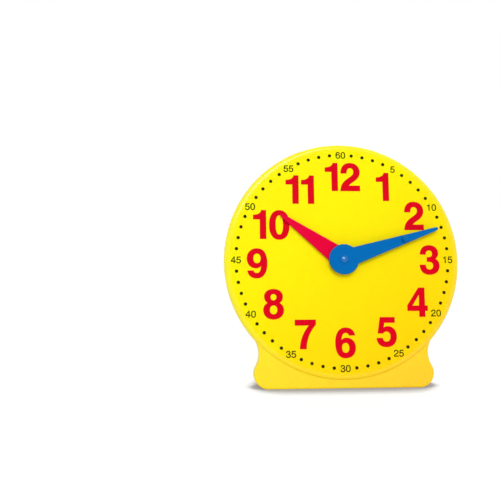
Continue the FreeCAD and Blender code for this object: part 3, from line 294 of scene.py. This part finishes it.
def wound(loop, hole):
    """The outline run clockwise where it is an outer edge, and the other way round a hole. Its
    area, half the sum of x_i y_(i+1) - x_(i+1) y_i, is negative where it runs clockwise."""
    following = np.roll(loop, -1, 0)
    area = np.sum(loop[:, 0] * following[:, 1] - following[:, 0] * loop[:, 1])
    return loop if (area > 0) == bool(hole) else loop[::-1]


def bolder(loop, by):
    """The outline moved to its left by a distance, which adds ink on both sides of a stroke.
    Each point goes along the sum of its two edges' unit normals n and m, times by / (1 + n.m),
    and 1 + n.m counts as no less than a half, so that a sharp corner doesn't run out."""
    along = np.roll(loop, -1, 0) - loop
    after = np.stack([-along[:, 1], along[:, 0]], 1) / np.linalg.norm(along, axis=1)[:, None]
    before = np.roll(after, 1, 0)
    return loop + (after + before) * by / np.maximum(1 + np.sum(after * before, 1), 0.5)[:, None]


def number_outlines(digits, text, apart, weight):
    """The outlines of a number about its middle, a list for each of its digits, which are set
    so far apart and made bolder by a weight. The 9 is the 6 turned half round its middle."""
    number = []
    for place, digit in enumerate(text):
        turned = digit == "9"
        loops = digit_outlines(digits["6" if turned else digit])
        loops = [2 * SIX_MIDDLE - loop if turned else loop for loop in loops]
        number.append([bolder(loop, weight) + (place * apart, 0) for loop in loops])
    edges = np.concatenate([loop for loops in number for loop in loops])
    middle = (edges.min(0) + edges.max(0)) / 2
    return [[loop - middle for loop in loops] for loops in number]


dial_right = np.array((1.0, 0.0, 0.0))
dial_up = np.cross(dial_right, inward)
dial_up *= math.copysign(1, dial_up[2])
INK_SUNK, INK_THICK = 0.00002, 0.00008


def printed(name, shapes, ink):
    """A film of ink on the dial. Each shape is a list of outlines in metres, its outer edge
    first, clockwise, and its holes after it. Every outline is carried from just under the
    dial's face to just over it, and the two faces are filled with triangles between the
    outlines. A triangle runs clockwise, and is turned over, where the cross product of its
    first two sides is negative."""
    points, faces = [], []
    for loops in shapes:
        flat = np.concatenate(loops)
        start, count = sum(map(len, points)), len(flat)
        on_face = (flat[:, :1] * dial_right + flat[:, 1:] * dial_up) + dial_middle
        deep = on_face + inward * INK_SUNK
        points += [deep, deep - inward * INK_THICK]
        fill = np.array(tessellate_polygon(loops))
        first, second = flat[fill[:, 1]] - flat[fill[:, 0]], flat[fill[:, 2]] - flat[fill[:, 0]]
        clockwise = first[:, 0] * second[:, 1] < first[:, 1] * second[:, 0]
        fill[clockwise] = fill[clockwise][:, ::-1]
        faces += [*(fill + start + count).tolist(), *(fill[:, ::-1] + start).tolist()]
        for loop in loops:
            here = np.arange(len(loop)) + start
            there = np.roll(here, -1)
            faces += np.stack([there, here, here + count, there + count], 1).tolist()
            start += len(loop)
    mesh = bpy.data.meshes.new(name)
    mesh.from_pydata(np.concatenate(points).tolist(), [], faces)
    mesh.materials.append(ink)
    piece = bpy.data.objects.new(name, mesh)
    bpy.context.scene.collection.objects.link(piece)
    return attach(piece, "case")


def printing_ink(name, colour, thin, roughness):
    """Screen ink: a flat colour a little thinner in places, where the mesh of the screen let
    less through, with the fine ripple that the mesh leaves."""
    finish, skin, point = new_finish(name, Specular_IOR_Level=0.02)
    cloud = point.noise(70.0, detail=4.0).ramp(0.45, 0.8)
    cloud.between(colour, thin).into(skin, "Base Color")
    (roughness + point.noise(300.0, detail=3.0) * 0.12).into(skin, "Roughness")
    relief(point.noise(1500.0, detail=1.0), skin, 0.00001)
    return finish


red_ink = printing_ink("red_ink", (0.68, 0.001, 0.012), (0.74, 0.002, 0.012), 0.36)
dark_ink = printing_ink("dark_ink", (0.022, 0.014, 0.002), (0.055, 0.040, 0.002), 0.40)

# How far each number's middle is to the right of the dial's middle and above it, in metres,
# and how far apart its two digits are, in the drawings' units. A digit is about 710 units high.
HOURS = {
    "12": (0.00210, 0.11850, 432), "1": (0.05955, 0.10455, 0), "2": (0.10335, 0.06270, 0),
    "3": (0.12360, -0.00030, 0), "4": (0.10395, -0.05970, 0), "5": (0.05880, -0.10080, 0),
    "6": (0.00075, -0.11505, 0), "7": (-0.05460, -0.10305, 0), "8": (-0.09825, -0.06150, 0),
    "9": (-0.12060, -0.00480, 0), "10": (-0.10020, 0.04920, 437), "11": (-0.05910, 0.09990, 391),
}
HOUR_UNIT, HOUR_WEIGHT = 0.0000562, 10
numerals = []
for text, (right, up, apart) in HOURS.items():
    number = number_outlines(BOLD_DIGITS, text, apart, HOUR_WEIGHT)
    numerals += [[loop * HOUR_UNIT + (right, up) for loop in digit] for digit in number]
printed("hour_numerals", numerals, red_ink)

MINUTE_RING = 0.150


def on_ring(minute):
    """The minute's place on its ring: the radius times the sine and the cosine of its angle,
    which runs clockwise from the top."""
    angle = minute * math.pi / 30
    return np.array((math.sin(angle), math.cos(angle))) * MINUTE_RING


LABEL_UNIT, LABEL_WEIGHT, LABEL_APART = 0.0000130, 15, 570
labels = []
for minute in range(0, 60, 5):
    number = number_outlines(LIGHT_DIGITS, str(minute or 60), LABEL_APART, LABEL_WEIGHT)
    labels += [[loop * LABEL_UNIT + on_ring(minute) for loop in digit] for digit in number]
printed("minute_labels", labels, dark_ink)

DOT_RADIUS, DOT_SIDES = 0.00238, 20
edge = np.arange(DOT_SIDES) * 2 * math.pi / DOT_SIDES
spot = np.stack([np.sin(edge), np.cos(edge)], 1) * DOT_RADIUS
dots = [[spot + on_ring(minute)] for minute in range(60) if minute % 5]
printed("minute_dots", dots, dark_ink)


# --- Rear cover and its screws --------------------------------------------------------------
# A second moulding in the same yellow closes the case from behind, and carries the ears of
# the strut's hinge. Its mould is spark-eroded, which leaves it matt and faintly pebbled. Six
# zinc-plated self-tapping screws hold it to the front case.
cover_yellow, cover_skin, cover_point = new_finish(
    "cover_yellow", Specular_IOR_Level=0.25, Specular_Tint=(1.0, 0.9, 0.3, 1))
melt = cover_point.noise(9.0, detail=3.0, stretch=(1.0, 1.0, 0.6)).ramp(0.3, 0.75)
melt.between((0.98, 0.80, 0.004), (0.96, 0.72, 0.006)).into(cover_skin, "Base Color")
rubbed = cover_point.noise(26.0, detail=3.0).ramp(0.45, 0.70)
scratches = cover_point.noise(200.0, detail=3.0, stretch=(0.08, 1.0, 1.0)).ramp(0.62, 0.74)
(0.60 - rubbed * 0.12 + scratches * 0.08).into(cover_skin, "Roughness")
pebbles = cover_point.noise(620.0) - rubbed * 0.2 - scratches * 0.3
relief(pebbles, cover_skin, 0.00009)
wear(cover_yellow, "rear_cover")


def plated_steel(name, light, dark, roughness, rings):
    """Small turned or plated steel parts: fine marks from the lathe or the die, and a slightly
    uneven, cloudy plating."""
    finish, skin, point = new_finish(name, Metallic=1.0)
    cloud = point.noise(220.0, detail=3.0)
    cloud.ramp(0.3, 0.7).between(dark, light).into(skin, "Base Color")
    marks = point.noise(rings, stretch=(1.0, 0.08, 0.08))
    (roughness + cloud * 0.14 + marks * 0.08).into(skin, "Roughness")
    relief(marks, skin, 0.000006)
    return finish


zinc_steel = plated_steel("zinc_steel", (0.66, 0.67, 0.66), (0.50, 0.51, 0.50), 0.30, 2200.0)
wear(zinc_steel, "cover_screws", "gear_plate_screws")


# --- Movement -------------------------------------------------------------------------------
# A train of four unfilled white acetal gears behind the dial turns the hour hand once for
# twelve turns of the minute hand. The gears run on steel pins between the dial and a grey
# plate on four posts, and a rubber washer under a clip gives the hands their drag.
def plain_moulding(name, colour, deep, roughness, grain):
    """Matt engineering plastic with a waxy skin, faintly cloudy, and matt from an etched mould."""
    finish, skin, point = new_finish(name, Specular_IOR_Level=0.35)
    cloud = point.noise(45.0, detail=4.0).ramp(0.35, 0.75)
    cloud.between(colour, deep).into(skin, "Base Color")
    (roughness + point.noise(500.0, detail=3.0) * 0.15).into(skin, "Roughness")
    relief(point.noise(grain, detail=3.0), skin, 0.00002)
    return finish


white_acetal = plain_moulding("white_acetal", (0.86, 0.85, 0.81), (0.80, 0.78, 0.72), 0.38, 1100.0)
grey_plastic = plain_moulding("grey_plastic", (0.42, 0.43, 0.44), (0.36, 0.37, 0.38), 0.50, 700.0)
friction_rubber = plain_moulding(
    "friction_rubber", (0.030, 0.030, 0.030), (0.055, 0.053, 0.050), 0.70, 900.0)
bright_steel = plated_steel("bright_steel", (0.72, 0.72, 0.71), (0.60, 0.60, 0.60), 0.16, 3000.0)
wear(white_acetal, "dial_bush", "plate_bush", "idler_gear", "hour_wheel", "minute_pinion",
     "hand_washer")
wear(grey_plastic, "gear_plate")
wear(friction_rubber, "friction_washer")
wear(bright_steel, "idler_post", "idler_washer", "minute_arbor", "arbor_clip")


# --- Hands ----------------------------------------------------------------------------------
# Two glossy mouldings, coloured right through. The short red hour hand is pressed on the pipe
# of the hour wheel, and the long blue minute hand on the flatted nose of the arbor in front
# of it. The blue hand has a thumb nub, and a domed button on its hub that is polished.
hand_red, *_ = moulded_plastic(
    "hand_red", (0.79, 0.001, 0.044), (0.69, 0.001, 0.030), 0.18,
    Specular_IOR_Level=0.12, Specular_Tint=(1.0, 0.2, 0.4, 1),
    Subsurface_Weight=0.1, Subsurface_Radius=(0.5, 0.02, 0.05),
)
hand_blue, blue_skin, blue_point = moulded_plastic(
    "hand_blue", (0.002, 0.146, 0.465), (0.001, 0.120, 0.40), 0.13,
    Specular_IOR_Level=0.15, Specular_Tint=(0.1, 0.6, 1.0, 1), Coat_Roughness=0.12,
    Subsurface_Weight=0.1, Subsurface_Radius=(0.02, 0.10, 0.40),
)
BUTTON_POLISH = (0.0032, 0.0050)  # the radii between which the polish fades out
(1 - blue_point.off_axis().ramp(*BUTTON_POLISH)).into(blue_skin, "Coat Weight")
wear(hand_red, "hour_hand")
wear(hand_blue, "minute_hand")


# --- Strut ----------------------------------------------------------------------------------
# A yellow moulded leg behind the case, matt as the cover is. It swings out on a steel pin
# through the cover's ears, and its rounded end stands on the table.
wear(cover_yellow, "stand_leg")
wear(bright_steel, "stand_hinge_pin")


# --- Table ----------------------------------------------------------------------------------
# A white table top that runs off to a white surrounding. It darkens where the clock's foot and
# strut shut out the room's light, and takes the lamps' shadows.
def seen_directly(tree):
    """1 for what the camera, a reflection or a clear piece shows, and 0 for what lights it."""
    kinds = ("Camera", "Glossy", "Transmission")
    rays = [Shade(tree).node("LightPath", output=f"Is {kind} Ray") for kind in kinds]
    return (rays[0] + rays[1] + rays[2]).math("MINIMUM", 1.0)


white = bpy.data.materials.new("white_table")
white.use_nodes = True
white.node_tree.nodes.clear()
table = Shade(white.node_tree)
SHADE_REACH, AT_FOOT, CLEAR = 0.050, 0.64, 0.86
open_room = table.node("AmbientOcclusion", {"samples": 16}, {"Distance": SHADE_REACH}, "AO")
brightness = open_room.ramp(AT_FOOT, CLEAR).between((0.20, 0.20, 0.22), (1, 1, 1))
GLOW, GLOW_SHARE = 1.17, 0.70
glow = table.node("Emission", {}, {"Color": brightness, "Strength": GLOW})
matt = table.node("BsdfDiffuse", {}, {"Color": (0.80, 0.80, 0.80, 1)})
share = seen_directly(white.node_tree) * GLOW_SHARE
mixed = table.node("MixShader", {}, {0: share, 1: matt, 2: glow})
table.node("OutputMaterial", {}, {"Surface": mixed}, None)

LEFT, RIGHT, NEAR, FAR = -6, 6, -4, 12
table_top = bpy.data.meshes.new("table_top")
corners = [(LEFT, NEAR, 0), (RIGHT, NEAR, 0), (RIGHT, FAR, 0), (LEFT, FAR, 0)]
table_top.from_pydata(corners, [], [(0, 1, 2, 3)])
table_top.materials.append(white)
table_piece = bpy.data.objects.new("table_top", table_top)
bpy.context.scene.collection.objects.link(table_piece)


# --- Light and camera -----------------------------------------------------------------------
# The room's even light, a large soft lamp high in front, and a weaker and softer one behind.
# The camera looks a little down at the clock, which stands in the right half of its view.
ROOM_LIGHT = 0.64
world = bpy.data.worlds.new("room")
bpy.context.scene.world = world
world.use_nodes = True
room = world.node_tree
lit = ROOM_LIGHT + seen_directly(room) * (1 - ROOM_LIGHT)
lit.into(room.nodes["Background"], "Strength")
room.nodes["Background"].inputs["Color"].default_value = (1, 1, 1, 1)

for name, strength, spread, towards in (
    ("front_lamp", 1.38, 25, (-0.05, -0.81, 0.59)),
    ("back_lamp", 0.80, 40, (0.35, 0.80, 0.48)),
):
    lamp = bpy.data.lights.new(name, "SUN")
    lamp.energy, lamp.angle = strength, math.radians(spread)
    lamp_piece = bpy.data.objects.new(name, lamp)
    bpy.context.scene.collection.objects.link(lamp_piece)
    lamp_piece.matrix_world = Vector(towards).to_track_quat("Z", "Y").to_matrix().to_4x4()

CAMERA_PLACE = (-0.1816, -0.8030, 0.2653)
TURNED_RIGHT, LOOKING_DOWN, TILTED = 3.541, 5.329, 0.349  # degrees
lens = bpy.data.cameras.new("camera")
lens.sensor_width, lens.lens = 36.0, 43.2
camera = bpy.data.objects.new("camera", lens)
bpy.context.scene.collection.objects.link(camera)
camera.matrix_world = (
    Matrix.Translation(CAMERA_PLACE)
    @ Matrix.Rotation(math.radians(-TURNED_RIGHT), 4, "Z")
    @ Matrix.Rotation(math.radians(90 - LOOKING_DOWN), 4, "X")
    @ Matrix.Rotation(math.radians(TILTED), 4, "Z")
)
bpy.context.scene.camera = camera
bpy.context.scene.view_settings.view_transform = "Standard"

bpy.context.view_layer.update()
